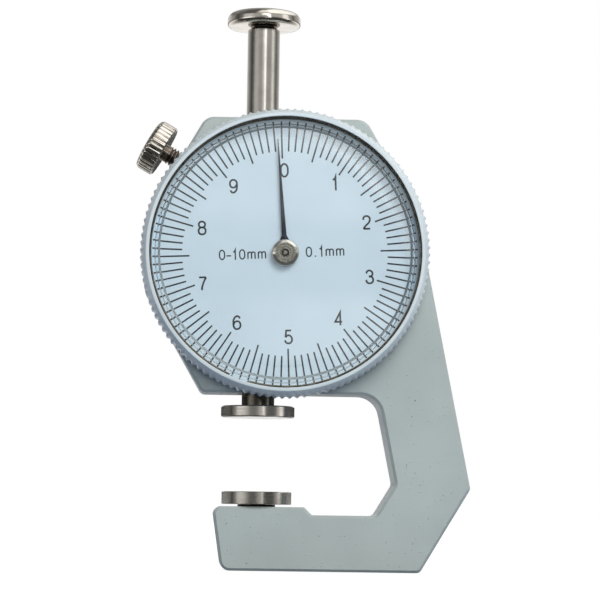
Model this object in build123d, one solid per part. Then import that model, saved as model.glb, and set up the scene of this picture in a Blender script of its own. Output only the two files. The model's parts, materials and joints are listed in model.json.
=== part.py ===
from build123d import *
import math
import os

# Dial thickness gauge for 0 to 10 mm. Lengths are millimetres.
# Origin at the centre of the anvil's measuring face, +Z up the spindle, the dial faces -Y.
# A height in the dial stack is counted forwards from the middle plane of the frame.

# Clearances
running_gap = 0.03
push_gap = 0.01
part_gap = 0.3
seat_gap = 0.05
pivot_step = 0.1
past_face = 1.0

# Measuring train
reading = 9.94
spindle_radius = 2.2
spindle_top = 63.0
contact_radius = 4.96
contact_thickness = 1.55
contact_bevel = 0.15
spindle_bevel = 0.12
anvil_radius = 4.7
anvil_thickness = 1.7
anvil_collar_radius = 2.55
anvil_stem_radius = 1.6
anvil_stem_length = 5.0
stud_radius = 1.25
stud_length = 4.0
cap_radius = 5.03
cap_thickness = 2.0
cap_crown = 0.35
cap_top_round = 0.95
cap_edge_round = 0.5
cap_round_steps = 3
cap_neck_radius = 1.8
cap_neck_height = 0.3

# Frame outline, seen from the front
frame_depth = 8.0
frame_front_bevel = 0.35
frame_back_bevel = 0.25
slope_angle = 60.0
housing_top = 50.33
housing_bottom = 13.13
housing_half_width = 10.8
housing_left = -15.6
housing_corner_round = 2.0
arm_bottom = -10.53
arm_top = -3.05
pad_top = -2.0
pad_left = -6.0
pad_right = 6.3
pad_corner_round = 1.1
arm_left_foot = -4.7
arm_foot_round = 1.4
throat_floor_right = 15.9
throat_wall_foot = (18.45, 1.2)
throat_lean = 11.4
throat_corner_round = 3.0
heel = (28.52, 0.72)
heel_lean = 11.4
toe_right = 21.82
small_round = 0.8

# Dial housing and the stack in front of it
dial_x = 3.1
dial_z = 31.6
bezel_radius = 19.25
bezel_teeth = 120
bezel_tooth_depth = 0.3
bezel_front_edge = 0.8
bezel_band_height = 1.6
bezel_rim_width = 0.45
bezel_rise = 0.9
bezel_ledge_width = 1.8
bezel_ledge_thickness = 0.6
boss_height = 1.8
boss_wall = 2.4
bezel_wall = 1.1
retaining_wire_width = 0.5
retaining_wire_depth = 0.3
retaining_wire_gap_angle = 20.0
retaining_wire_gap_middle = 90.0
pocket_floor = 3.0
cover_thickness = 1.0
cover_screw_edge = 0.25
cover_screw_count = 4
cover_screw_first = 30.0
cover_screw_radius = 0.7
cover_screw_head_radius = 1.25
cover_screw_length = 3.6
screw_slot_width = 0.3
screw_slot_depth = 0.3
crystal_thickness = 0.8
crystal_wall = 1.05
crystal_height = 2.4
crystal_crown = 0.35
crystal_crown_steps = 4
snap_wire = 0.5
snap_wire_sides = 6
snap_groove_depth = 0.16
snap_gap_middle = 207.8
snap_gap_angle = 8.4
dial_thickness = 0.4
dial_over_boss = 0.2
dial_hole_radius = 1.0

# Movement
rack_pitch = 0.625
pinion_teeth = 16
pressure_angle = 20.0
root_depth = 1.25
tooth_backlash = 0.04
pinion_front = 1.2
pinion_back = -0.9
rack_below = 1.2
rack_above = 1.6
rack_clear = 2.0
flank_steps = 3
shaft_radius = 0.5
rear_pivot_radius = 0.35
front_bearing_radius = 1.5
pointer_length = 15.3
pointer_width = 0.64
pointer_flare = 1.1
pointer_neck = 1.0
pointer_tip_width = 0.1
pointer_thickness = 0.2
pointer_over_dial = 0.5
pointer_eye_radius = 1.35
pointer_angle = -4.6
hub_radius = 1.8
hub_height = 0.6
hub_chamfer = 0.37
hub_chamfer_height = 0.22
hub_tube_below = 0.2
hub_tube_radius = 0.8
hub_hole_radius = 0.55
bridge_thickness = 0.8
bridge_nose_radius = 1.15
bridge_end_radius = 1.9
bridge_post_across = 7.5
bridge_post_up = 5.6
post_radius = 1.2
bridge_screw_radius = 0.6
bridge_screw_head = 0.4
bridge_screw_length = 3.0
hairspring_strip = 0.08
hairspring_height = 0.35
hairspring_below_floor = 0.15
hairspring_inner = 0.95
hairspring_pitch = 0.4
hairspring_half_turns = 6
hairspring_stud_radius = 0.35
collet_radius = 0.8
collet_gap = 0.2

# Guide pin, return spring and lock
guide_pin_radius = 0.6
guide_pin_reach = 4.2
guide_pin_above_dial = 9.4
slot_depth = 1.5
travel_up = 0.26
spring_x = -3.4
spring_pin_above_dial = 3.9
spring_post_room = 1.36
spring_pin_radius = 0.5
spring_pin_reach = 4.3
spring_post_back = 1.5
spring_post_head = 0.25
spring_post_head_height = 0.3
spring_wire = 0.22
spring_coil_radius = 0.75
spring_turns = 12
spring_steps = 8
bush_radius = 2.8
bush_sunk = 0.1
lock_above_dial = 6.6
lock_angle = 30.0
lock_thread_radius = 1.25
lock_neck_radius = 1.15
lock_neck_length = 0.9
lock_head_radius = 3.65
lock_head_thickness = 2.6
lock_head_face_radius = 3.3
lock_head_round = 0.8
lock_head_seat = 15.3
lock_flutes = 30
lock_flute_depth = 0.28
lock_pad_radius = 1.05
lock_pad_length = 1.9

# Worked out from the above
frame_front = frame_depth / 2
bezel_rim_radius = bezel_radius - bezel_front_edge
bezel_opening = bezel_rim_radius - bezel_rim_width
bezel_ledge_radius = bezel_opening - bezel_ledge_width
dial_radius = bezel_opening - 2 * seat_gap
boss_radius = bezel_opening - bezel_wall
boss_front = frame_front + boss_height
pocket_radius = boss_radius - boss_wall
cover_radius = boss_radius + 2 * seat_gap
cover_screw_circle = cover_radius - cover_screw_head_radius - cover_screw_edge
cover_screw_head_depth = cover_screw_head_radius - cover_screw_radius
dial_back = boss_front + dial_over_boss + bezel_ledge_thickness
dial_face = dial_back + dial_thickness
crystal_top = dial_face + crystal_height
bezel_front = crystal_top + bezel_rise
bezel_band_top = bezel_front - bezel_band_height
retaining_middle = frame_front + boss_height / 2
pointer_height = dial_face + pointer_over_dial
pointer_front = pointer_height + pointer_thickness
hub_front = pointer_front + hub_height
bridge_back = frame_front - cover_thickness - bridge_screw_head - 2 * seat_gap
bridge_front = bridge_back - bridge_thickness
bridge_posts = [(dial_x + bridge_post_across, dial_z + side * bridge_post_up) for side in (1, -1)]
guide_pin_z = dial_z + guide_pin_above_dial
spring_pin_z = dial_z + spring_pin_above_dial
spring_post_z = dial_z - math.sqrt(pocket_radius ** 2 - (dial_x - spring_x) ** 2) + spring_post_room
lock_axis_z = dial_z + lock_above_dial
hairspring_back = pocket_floor - hairspring_below_floor - hairspring_height
hairspring_end = hairspring_inner + hairspring_half_turns * hairspring_pitch / 2
tan_slope = math.tan(math.radians(slope_angle))
tan_flank = math.tan(math.radians(pressure_angle))
pitch_radius = rack_pitch * pinion_teeth / (2 * math.pi)
module = rack_pitch / math.pi
rack_pitch_x = dial_x - pitch_radius
dial_axis = Plane(origin=(dial_x, 0, dial_z), x_dir=(1, 0, 0), z_dir=(0, -1, 0))
lock_direction = Vector(-math.cos(math.radians(lock_angle)), 0, math.sin(math.radians(lock_angle)))
lock_axis = Plane(origin=(0, 0, lock_axis_z), x_dir=(0, 1, 0), z_dir=lock_direction)


def front_plane(height):
    """Sketch x is +X and sketch y is +Z; extruding goes forwards from this height."""
    return Plane(origin=(0, -height, 0), x_dir=(1, 0, 0), z_dir=(0, -1, 0))


def turned(points):
    """Solid of revolution about local Z from (radius, height) points."""
    return revolve(Plane.XZ * make_face(Polyline(*points, close=True)), Axis.Z)


def rod(radius, low, high):
    return Pos(0, 0, low) * extrude(Circle(radius), high - low)


def lean(angle, rise):
    """Sideways run of an edge that leans by this angle over this rise."""
    return rise * math.tan(math.radians(angle))


def corner_steps(x, z, radius, start, end):
    """A round corner about (x, z) as a few straight steps, to keep turned pieces light."""
    angles = [math.radians(start + (end - start) * k / cap_round_steps) for k in range(cap_round_steps + 1)]
    return [(x + radius * math.cos(a), z + radius * math.sin(a)) for a in angles]


def rounded(outline, places):
    """Outline face with the corner nearest to each (x, z) place rounded by its radius."""
    for x, z, radius in places:
        corner = outline.vertices().sort_by_distance((x, z, 0))[0]
        outline = fillet(corner, radius)
    return outline


def save(shape, name):
    shape.label = name
    export_step(shape, f"parts/{name}.step")


def frame_outline():
    top_left = dial_x - housing_half_width
    top_right = dial_x + housing_half_width
    left_high = housing_top - (top_left - housing_left) * tan_slope
    left_low = housing_bottom + (top_left - housing_left) * tan_slope
    tan_heel = math.tan(math.radians(heel_lean))
    slope_foot = top_right + housing_top / tan_slope
    heel_foot = heel[0] + heel[1] * tan_heel
    shoulder_z = (slope_foot - heel_foot) / (1 / tan_slope - tan_heel)
    shoulder_x = heel_foot - shoulder_z * tan_heel
    throat_x = throat_wall_foot[0] - lean(throat_lean, housing_bottom - throat_wall_foot[1])
    points = [
        (top_left, housing_top), (top_right, housing_top), (shoulder_x, shoulder_z), heel,
        (toe_right, arm_bottom), (arm_left_foot, arm_bottom), (pad_left, pad_top),
        (pad_right, pad_top), (pad_right + pad_top - arm_top, arm_top),
        (throat_floor_right, arm_top), throat_wall_foot, (throat_x, housing_bottom),
        (top_left, housing_bottom), (housing_left, left_low), (housing_left, left_high),
    ]
    outline = make_face(Polyline(*points, close=True))
    return rounded(outline, [
        (top_left, housing_top, housing_corner_round),
        (top_right, housing_top, housing_corner_round),
        (shoulder_x, shoulder_z, housing_corner_round),
        (heel[0], heel[1], small_round),
        (toe_right, arm_bottom, small_round),
        (arm_left_foot, arm_bottom, arm_foot_round),
        (pad_left, pad_top, pad_corner_round),
        (throat_floor_right, arm_top, small_round),
        (throat_wall_foot[0], throat_wall_foot[1], small_round),
        (throat_x, housing_bottom, throat_corner_round),
        (top_left, housing_bottom, housing_corner_round / 2),
        (housing_left, left_low, housing_corner_round),
        (housing_left, left_high, housing_corner_round),
    ])


def cover_screw_places():
    """Places of the cover's screws, from the dial axis."""
    return [Rot(0, 0, cover_screw_first + 360 * k / cover_screw_count) * Pos(cover_screw_circle, 0, 0)
            for k in range(cover_screw_count)]


def frame_body():
    body = front_plane(-frame_front) * extrude(frame_outline(), frame_depth)
    body = chamfer(body.faces().sort_by(Axis.Y)[0].edges(), frame_front_bevel)
    body = chamfer(body.faces().sort_by(Axis.Y)[-1].edges(), frame_back_bevel)
    boss = rod(boss_radius, frame_front - part_gap, boss_front)
    pocket = rod(pocket_radius, -frame_front - past_face, pocket_floor)
    seat = rod(cover_radius + push_gap, -frame_front - past_face, cover_thickness - frame_front)
    bearing_hole = rod(front_bearing_radius + push_gap, 0, boss_front + past_face)
    body += dial_axis * boss
    body -= dial_axis * (retaining_groove() + pocket + seat + bearing_hole)
    for place in cover_screw_places():
        hole_end = cover_screw_length + part_gap - frame_front
        body -= dial_axis * place * rod(cover_screw_radius + push_gap, -frame_front, hole_end)
    body -= rod(bush_radius + push_gap, housing_bottom - past_face, housing_top + past_face)
    body -= rod(anvil_stem_radius + push_gap, pad_top - anvil_stem_length - part_gap, pad_top + past_face)
    body -= lock_axis * rod(lock_thread_radius + running_gap, 0, 2 * lock_head_seat)
    return body - guide_slot()


def retaining_groove():
    """Groove round the boss that holds the bezel's retaining wire."""
    half = retaining_wire_width / 2 + seat_gap
    low, high = retaining_middle - half, retaining_middle + half
    inner = boss_radius - retaining_wire_depth / 2 - seat_gap
    outer = boss_radius + past_face
    return turned([(inner, low), (outer, low), (outer, high), (inner, high)])


def guide_slot():
    """Slot in the pocket's floor along which the guide pin runs."""
    low = guide_pin_z - reading - guide_pin_radius - part_gap
    high = guide_pin_z + travel_up + guide_pin_radius + running_gap
    slot = Box(2 * (guide_pin_radius + running_gap), 2 * slot_depth, high - low)
    return Pos(0, -pocket_floor, (low + high) / 2) * slot


def back_cover():
    cover = rod(cover_radius, -frame_front, cover_thickness - frame_front)
    for place in cover_screw_places():
        hole = rod(cover_screw_radius + push_gap, -frame_front - past_face, 0)
        cover -= place * (hole + Pos(0, 0, -frame_front) * screw_cone(push_gap))
    return dial_axis * cover


def screw_cone(gap):
    """Countersunk head, its wide face at z = 0 and narrowing forwards."""
    wide, narrow = cover_screw_head_radius + gap, cover_screw_radius + gap
    return turned([(0, 0), (wide, 0), (narrow, cover_screw_head_depth), (0, cover_screw_head_depth)])


def back_cover_screws():
    screw = screw_cone(0) + rod(cover_screw_radius, 0, cover_screw_length)
    screw -= Box(3 * cover_screw_head_radius, screw_slot_width, 2 * screw_slot_depth)
    return Compound(children=[dial_axis * place * Pos(0, 0, -frame_front) * screw
                              for place in cover_screw_places()])


def split_ring(section, gap_middle, gap_angle):
    """Ring with a gap; the gap's middle is counted clockwise from the top, seen from the front."""
    start = 90 - gap_middle + gap_angle / 2
    return Rot(0, 0, start) * revolve(Plane.XZ * section, Axis.Z, 360 - gap_angle)


def bezel_retaining_wire():
    section = Pos(boss_radius, retaining_middle) * Rectangle(retaining_wire_depth, retaining_wire_width)
    return dial_axis * split_ring(section, retaining_wire_gap_middle, retaining_wire_gap_angle)


def bezel():
    back = frame_front + part_gap
    bore = boss_radius + seat_gap
    ledge_back = dial_back - bezel_ledge_thickness
    wire_room = boss_radius + retaining_wire_depth / 2 + seat_gap
    room_low = retaining_middle - retaining_wire_width / 2 - seat_gap
    room_high = retaining_middle + retaining_wire_width / 2 + seat_gap
    groove_radius = bezel_opening + snap_groove_depth
    groove_top = crystal_top + snap_wire + seat_gap
    body = turned([
        (bore, back), (bezel_radius, back), (bezel_radius, bezel_band_top),
        (bezel_rim_radius, bezel_front), (bezel_opening, bezel_front), (bezel_opening, groove_top),
        (groove_radius, groove_top), (groove_radius, crystal_top), (bezel_opening, crystal_top),
        (bezel_opening, dial_back), (bezel_ledge_radius, dial_back), (bezel_ledge_radius, ledge_back),
        (bore, ledge_back), (bore, room_high), (wire_room, room_high), (wire_room, room_low),
        (bore, room_low),
    ])
    outline = []
    for k in range(2 * bezel_teeth):
        radius = bezel_radius - (bezel_tooth_depth if k % 2 else 0)
        a = math.pi * k / bezel_teeth
        outline.append((radius * math.cos(a), radius * math.sin(a)))
    star = extrude(make_face(Polyline(*outline, close=True)), bezel_front + past_face)
    return dial_axis * (body & star)


def crystal():
    outer = bezel_opening - seat_gap
    inner = outer - crystal_wall
    under = crystal_top - crystal_thickness
    radii = [inner * k / crystal_crown_steps for k in range(crystal_crown_steps + 1)]
    crown = [(radius, crystal_crown * (1 - (radius / inner) ** 2)) for radius in radii]
    front = [(radius, crystal_top + rise) for radius, rise in crown]
    back = [(radius, under + rise) for radius, rise in reversed(crown)]
    return dial_axis * turned(front + [(outer, crystal_top), (outer, dial_face), (inner, dial_face)] + back)


def crystal_snap_ring():
    ring_radius = bezel_opening + snap_groove_depth - seat_gap - snap_wire / 2
    height = crystal_top + snap_wire / 2 + push_gap
    section = Pos(ring_radius, height) * Rot(0, 0, 180 / snap_wire_sides) * RegularPolygon(
        snap_wire / 2, snap_wire_sides)
    return dial_axis * split_ring(section, snap_gap_middle, snap_gap_angle)


def dial_plate():
    plate = rod(dial_radius, dial_back, dial_face)
    return dial_axis * (plate - rod(dial_hole_radius, 0, dial_face + past_face))


def rack_cutter():
    """Everything to the right of the rack's tooth line."""
    tip_x = rack_pitch_x + module
    root_x = rack_pitch_x - root_depth * module
    half_thickness = (rack_pitch - tooth_backlash) / 4
    tip_half = half_thickness - module * tan_flank
    root_half = half_thickness + root_depth * module * tan_flank
    first = -math.ceil(rack_below / rack_pitch)
    last = math.ceil((reading + rack_above) / rack_pitch)
    low = dial_z + (first - 0.5) * rack_pitch
    high = dial_z + (last + 0.5) * rack_pitch
    line = [(rack_pitch_x + rack_clear, low), (tip_x, low)]
    for k in range(first, last + 1):
        z = dial_z + k * rack_pitch
        line += [(root_x, z - root_half), (tip_x, z - tip_half)]
        line += [(tip_x, z + tip_half), (root_x, z + root_half)]
    line += [(tip_x, high), (rack_pitch_x + rack_clear, high)]
    cutter = make_face(Polyline(*line, close=True))
    return front_plane(-spindle_radius - past_face) * extrude(cutter, 2 * (spindle_radius + past_face))


def pin_forwards(radius, low, high):
    """Pin across the spindle that points to the dial."""
    return Pos(0, 0, guide_pin_z) * Rot(90, 0, 0) * rod(radius, low, high)


def pin_sideways(radius, low, high):
    """Pin across the spindle that points away from the pinion."""
    return Pos(0, 0, spring_pin_z) * Rot(0, -90, 0) * rod(radius, low, high)


def spindle():
    bottom = reading + contact_thickness
    stud_hole = stud_length + part_gap
    body = rod(spindle_radius, bottom, spindle_top)
    body = chamfer(body.edges().filter_by(GeomType.CIRCLE), spindle_bevel)
    body -= rod(stud_radius + push_gap, bottom - past_face, bottom + stud_hole)
    body -= rod(stud_radius + push_gap, spindle_top - stud_hole, spindle_top + past_face)
    body -= rack_cutter()
    body -= pin_forwards(guide_pin_radius + push_gap, spindle_radius / 2, spindle_radius + past_face)
    return body - pin_sideways(spring_pin_radius + push_gap, spindle_radius / 2, spindle_radius + past_face)


def lifting_cap():
    low = spindle_top + cap_neck_height
    high = low + cap_thickness
    lower = corner_steps(cap_radius - cap_edge_round, low + cap_edge_round, cap_edge_round, -90, 0)
    upper = corner_steps(cap_radius - cap_top_round, high - cap_top_round, cap_top_round, 0, 75)
    head = turned([(0, low)] + lower + upper + [(0, high + cap_crown)])
    return head + rod(cap_neck_radius, spindle_top, low) + rod(stud_radius, spindle_top - stud_length, low)


def contact_disc():
    top = reading + contact_thickness
    disc = rod(contact_radius, reading, top)
    disc = chamfer(disc.edges().filter_by(GeomType.CIRCLE), contact_bevel)
    return disc + rod(stud_radius, top - contact_thickness / 2, top + stud_length)


def anvil():
    disc = rod(anvil_radius, -anvil_thickness, 0)
    disc = chamfer(disc.edges().filter_by(GeomType.CIRCLE), contact_bevel / 2)
    disc += rod(anvil_collar_radius, pad_top, -anvil_thickness)
    return disc + rod(anvil_stem_radius, pad_top - anvil_stem_length, -anvil_thickness)


def bush(low, high):
    bore = rod(spindle_radius + running_gap, low - past_face, high + past_face)
    return rod(bush_radius, low, high) - bore


def pocket_height(x):
    """Half height of the round pocket above and below the dial centre, at this X."""
    return math.sqrt(pocket_radius ** 2 - (x - dial_x) ** 2)


def upper_bush():
    return bush(dial_z + pocket_height(-bush_radius), housing_top - bush_sunk)


def lower_bush():
    return bush(housing_bottom + bush_sunk, dial_z - pocket_height(-bush_radius))


def guide_pin():
    return pin_forwards(guide_pin_radius, spindle_radius / 2 + push_gap, guide_pin_reach)


def spring_pin():
    return pin_sideways(spring_pin_radius, spindle_radius / 2 + push_gap, spring_pin_reach)


def spring_post():
    post = rod(spring_pin_radius, -spring_post_back, pocket_floor)
    head = rod(spring_pin_radius + spring_post_head, -spring_post_back,
               spring_post_head_height - spring_post_back)
    return Pos(spring_x, 0, spring_post_z) * Rot(90, 0, 0) * (post + head)


def return_spring():
    """Extension spring with an eye at each end; its wire is square and its turns are eight-sided."""
    low = spring_post_z + spring_coil_radius
    high = spring_pin_z - spring_coil_radius
    count = spring_turns * spring_steps
    points = []
    for k in range(count + 1):
        a = 2 * math.pi * k / spring_steps
        z = low + (high - low) * k / count
        points.append((spring_coil_radius * math.cos(a), spring_coil_radius * math.sin(a), z))
    coil = Polyline(*points)
    start = Plane(origin=coil @ 0, z_dir=coil % 0)
    spring = sweep(start * Rectangle(spring_wire, spring_wire), path=coil, transition=Transition.RIGHT)
    ring = Circle(spring_coil_radius + spring_wire / 2) - Circle(spring_coil_radius - spring_wire / 2)
    eye = extrude(ring, spring_wire / 2, both=True)
    arm = Box(spring_coil_radius + spring_wire, spring_wire, spring_wire)
    arm = Pos(spring_coil_radius / 2, 0, 0) * arm
    spring += Pos(0, 0, spring_post_z) * Rot(90, 0, 0) * eye + Pos(0, 0, low) * arm
    spring += Pos(0, 0, spring_pin_z) * Rot(0, 90, 0) * eye + Pos(0, 0, high) * arm
    return Pos(spring_x, 0, 0) * spring


def pinion_outline():
    """Involute teeth, a tooth space facing the rack."""
    base = pitch_radius * math.cos(math.radians(pressure_angle))
    root = pitch_radius - root_depth * module
    tip = pitch_radius + module
    involute = tan_flank - math.radians(pressure_angle)
    half_tooth = (rack_pitch - tooth_backlash) / (4 * pitch_radius) + involute
    flank = [(root, half_tooth)]
    for k in range(flank_steps + 1):
        radius = base + (tip - base) * k / flank_steps
        alpha = math.acos(base / radius)
        flank.append((radius, half_tooth - (math.tan(alpha) - alpha)))
    points = []
    for tooth in range(pinion_teeth):
        middle = math.pi + 2 * math.pi * (tooth + 0.5) / pinion_teeth
        points += [(r * math.cos(middle - a), r * math.sin(middle - a)) for r, a in flank]
        points += [(r * math.cos(middle + a), r * math.sin(middle + a)) for r, a in reversed(flank)]
    return make_face(Polyline(*points, close=True))


def pinion_shaft():
    wheel = Pos(0, 0, pinion_back) * extrude(pinion_outline(), pinion_front - pinion_back)
    shaft = rod(shaft_radius, pinion_front, hub_front - 2 * pivot_step)
    rear = rod(shaft_radius, pivot_step - bridge_front, pinion_back)
    pivot = rod(rear_pivot_radius, -bridge_back, pinion_back)
    return dial_axis * (wheel + shaft + rear + pivot)


def pointer():
    side = [(pointer_flare / 2, 0), (pointer_flare / 2, pointer_eye_radius),
            (pointer_width / 2, pointer_eye_radius + pointer_neck), (pointer_tip_width / 2, pointer_length)]
    mirrored = [(-x, y) for x, y in reversed(side)]
    blade = make_face(Polyline(*side, *mirrored, close=True))
    outline = blade + Circle(pointer_eye_radius) - Circle(hub_tube_radius + push_gap)
    plate = Pos(0, 0, pointer_height) * extrude(outline, pointer_thickness)
    return dial_axis * Rot(0, 0, -pointer_angle) * plate


def pointer_hub():
    low = pointer_height - hub_tube_below
    return dial_axis * turned([
        (hub_hole_radius, low), (hub_tube_radius, low), (hub_tube_radius, pointer_front),
        (hub_radius, pointer_front), (hub_radius, hub_front - hub_chamfer_height),
        (hub_radius - hub_chamfer, hub_front), (hub_hole_radius, hub_front),
    ])


def front_bearing():
    sleeve = rod(front_bearing_radius, pocket_floor, boss_front)
    return dial_axis * (sleeve - rod(shaft_radius + running_gap, 0, boss_front + past_face))


def at_posts(shape):
    """The shape at each of the bridge's posts, its z counted forwards."""
    return [front_plane(0) * Pos(x, z, 0) * shape for x, z in bridge_posts]


def bridge_plate():
    rounds = [Pos(dial_x, dial_z) * Circle(bridge_nose_radius)]
    rounds += [Pos(x, z) * Circle(bridge_end_radius) for x, z in bridge_posts]
    shape = make_hull([edge for disc in rounds for edge in disc.edges()])
    plate = front_plane(-bridge_back) * extrude(shape, bridge_thickness)
    for hole in at_posts(rod(bridge_screw_radius + push_gap, -frame_front, 0)):
        plate -= hole
    return plate - dial_axis * rod(rear_pivot_radius + running_gap, -frame_front, 0)


def bridge_pillars():
    screw_hole = rod(bridge_screw_radius + push_gap, -frame_front, bridge_screw_length - bridge_front)
    pillar = rod(post_radius, -bridge_front, pocket_floor) - screw_hole
    return Compound(children=at_posts(pillar))


def bridge_screws():
    low = -bridge_back - bridge_screw_head
    head = rod(2 * bridge_screw_radius, low, -bridge_back)
    head -= Pos(0, 0, low) * Box(5 * bridge_screw_radius, screw_slot_width, bridge_screw_head)
    shank = rod(bridge_screw_radius, -bridge_back, bridge_screw_length - bridge_front - part_gap)
    return Compound(children=at_posts(head + shank))


def hairspring():
    """Flat spiral of half turns, their centres shifted to either side of the shaft in turn."""
    room = Rectangle(4 * hairspring_end, 2 * hairspring_end)
    spiral = Sketch()
    for k in range(hairspring_half_turns):
        radius = hairspring_inner + (k + 0.5) * hairspring_pitch / 2
        side = 1 if k % 2 else -1
        band = Circle(radius + hairspring_strip / 2) - Circle(radius - hairspring_strip / 2)
        spiral += Pos(side * hairspring_pitch / 4, 0) * (band & (Pos(0, side * hairspring_end) * room))
    spiral -= Pos(hairspring_end, 0) * Circle(hairspring_stud_radius)
    return dial_axis * Pos(0, 0, hairspring_back) * extrude(spiral, hairspring_height)


def hairspring_stud():
    stud = rod(hairspring_stud_radius, hairspring_back - pivot_step, pocket_floor)
    return dial_axis * Pos(hairspring_end, 0, 0) * stud


def hairspring_collet():
    collar = rod(collet_radius, pinion_front + collet_gap, pocket_floor - 2 * seat_gap)
    return dial_axis * (collar - rod(shaft_radius + push_gap, 0, boss_front))


def lock_screw():
    pad_end = lock_pad_end()
    neck_low = lock_head_seat - lock_neck_length
    face = lock_head_seat + lock_head_thickness
    shank = rod(lock_thread_radius, pad_end + running_gap, neck_low)
    neck = rod(lock_neck_radius, neck_low, lock_head_seat)
    head = turned([(0, lock_head_seat), (lock_head_radius, lock_head_seat),
                   (lock_head_radius, face - lock_head_round), (lock_head_face_radius, face), (0, face)])
    flute = Rot(0, 0, 45) * Rectangle(math.sqrt(2) * lock_flute_depth, math.sqrt(2) * lock_flute_depth)
    for k in range(lock_flutes):
        notch = Rot(0, 0, 360 * k / lock_flutes) * Pos(lock_head_radius, 0) * flute
        head -= Pos(0, 0, lock_head_seat - past_face) * extrude(notch, lock_head_thickness + 2 * past_face)
    return lock_axis * (shank + neck + head)


def lock_pad_end():
    """Distance along the lock's axis from the spindle's axis to the pad's outer end."""
    return spindle_radius / math.cos(math.radians(lock_angle)) + lock_pad_length


def lock_pad():
    pad = lock_axis * rod(lock_pad_radius, 0, lock_pad_end())
    size = 2 * lock_head_seat
    return pad & Pos(-spindle_radius - running_gap - size / 2, 0, lock_axis_z) * Box(size, size, size)


os.makedirs("parts", exist_ok=True)
for build in (
        frame_body, back_cover, back_cover_screws, bezel_retaining_wire, bezel, crystal,
        crystal_snap_ring, dial_plate, spindle, lifting_cap, contact_disc, anvil, upper_bush,
        lower_bush, guide_pin, spring_pin, spring_post, return_spring, pinion_shaft, pointer,
        pointer_hub, front_bearing, bridge_plate, bridge_pillars, bridge_screws, hairspring,
        hairspring_stud, hairspring_collet, lock_screw, lock_pad):
    save(build(), build.__name__)
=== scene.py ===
import json
from math import atan2, ceil, cos, hypot, pi, radians, sin

import bmesh
import bpy
from bpy.props import FloatProperty, FloatVectorProperty, IntProperty, PointerProperty
from bpy.types import Operator, Panel, PropertyGroup
from mathutils import Matrix, Vector


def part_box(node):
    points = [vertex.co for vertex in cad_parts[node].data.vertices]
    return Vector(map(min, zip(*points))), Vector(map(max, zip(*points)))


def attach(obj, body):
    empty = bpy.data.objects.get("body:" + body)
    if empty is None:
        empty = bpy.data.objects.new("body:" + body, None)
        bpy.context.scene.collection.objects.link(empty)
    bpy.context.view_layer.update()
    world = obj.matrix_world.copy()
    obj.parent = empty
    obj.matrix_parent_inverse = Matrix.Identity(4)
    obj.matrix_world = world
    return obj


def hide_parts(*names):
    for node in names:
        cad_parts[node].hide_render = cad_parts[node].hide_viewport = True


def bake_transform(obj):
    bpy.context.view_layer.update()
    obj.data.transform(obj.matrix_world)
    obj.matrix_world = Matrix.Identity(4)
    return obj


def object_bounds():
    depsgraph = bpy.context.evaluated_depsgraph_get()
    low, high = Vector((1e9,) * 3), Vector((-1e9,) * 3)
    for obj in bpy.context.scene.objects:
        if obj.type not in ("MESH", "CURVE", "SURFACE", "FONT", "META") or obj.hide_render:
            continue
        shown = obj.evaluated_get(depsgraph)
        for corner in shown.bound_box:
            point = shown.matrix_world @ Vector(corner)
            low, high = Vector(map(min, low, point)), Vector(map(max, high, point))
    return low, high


bl_info = {
    "name": "Dial Thickness Gauge",
    "version": (1, 0, 0),
    "blender": (4, 5, 0),
    "location": "3D View > Sidebar > Gauge",
    "description": "Dresses the solid model of a dial thickness gauge",
    "category": "Add Mesh",
}

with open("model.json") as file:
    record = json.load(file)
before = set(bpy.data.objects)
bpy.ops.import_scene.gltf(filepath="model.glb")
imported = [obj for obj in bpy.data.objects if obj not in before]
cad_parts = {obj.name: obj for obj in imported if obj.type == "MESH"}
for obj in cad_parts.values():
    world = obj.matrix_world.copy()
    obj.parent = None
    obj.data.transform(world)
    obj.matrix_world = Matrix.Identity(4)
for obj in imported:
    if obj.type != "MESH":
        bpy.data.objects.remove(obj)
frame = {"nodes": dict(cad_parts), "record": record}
cad_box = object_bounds()
mm = 0.001
# In metres: vertices this near are merged, and a cut takes vertices this near as on its plane
merge_distance = 2e-6
cut_tolerance = 1e-8
forwards = (radians(90), 0, 0)


def middle_of(node):
    """The middle of a solid's box, in the middle plane of the frame."""
    low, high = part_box(node)
    return Vector(((low.x + high.x) / 2, 0, (low.z + high.z) / 2))


# Heights in the dial stack count forwards from the middle plane of the frame, in millimetres
dial_low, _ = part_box("dial_plate")
dial_centre = middle_of("dial_plate")
dial_face = -dial_low.y / mm


def linear(code):
    """The linear colour of an sRGB hex value."""
    channels = [int(code[k:k + 2], 16) / 255 for k in (1, 3, 5)]
    return [c / 12.92 if c <= 0.04045 else ((c + 0.055) / 1.055) ** 2.4 for c in channels]


def shade(tint):
    """A colour socket's value for an sRGB hex value, a grey level or linear channels."""
    if isinstance(tint, str):
        tint = linear(tint)
    elif isinstance(tint, (int, float)):
        tint = (tint, tint, tint)
    return (*tint, 1)


def length(name, description, value):
    return FloatProperty(name=name, description=description, default=value * mm, unit="LENGTH", precision=5)


def colour(name, description, code):
    return FloatVectorProperty(name=name, description=description, default=linear(code), subtype="COLOR",
                               min=0, max=1)


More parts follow.
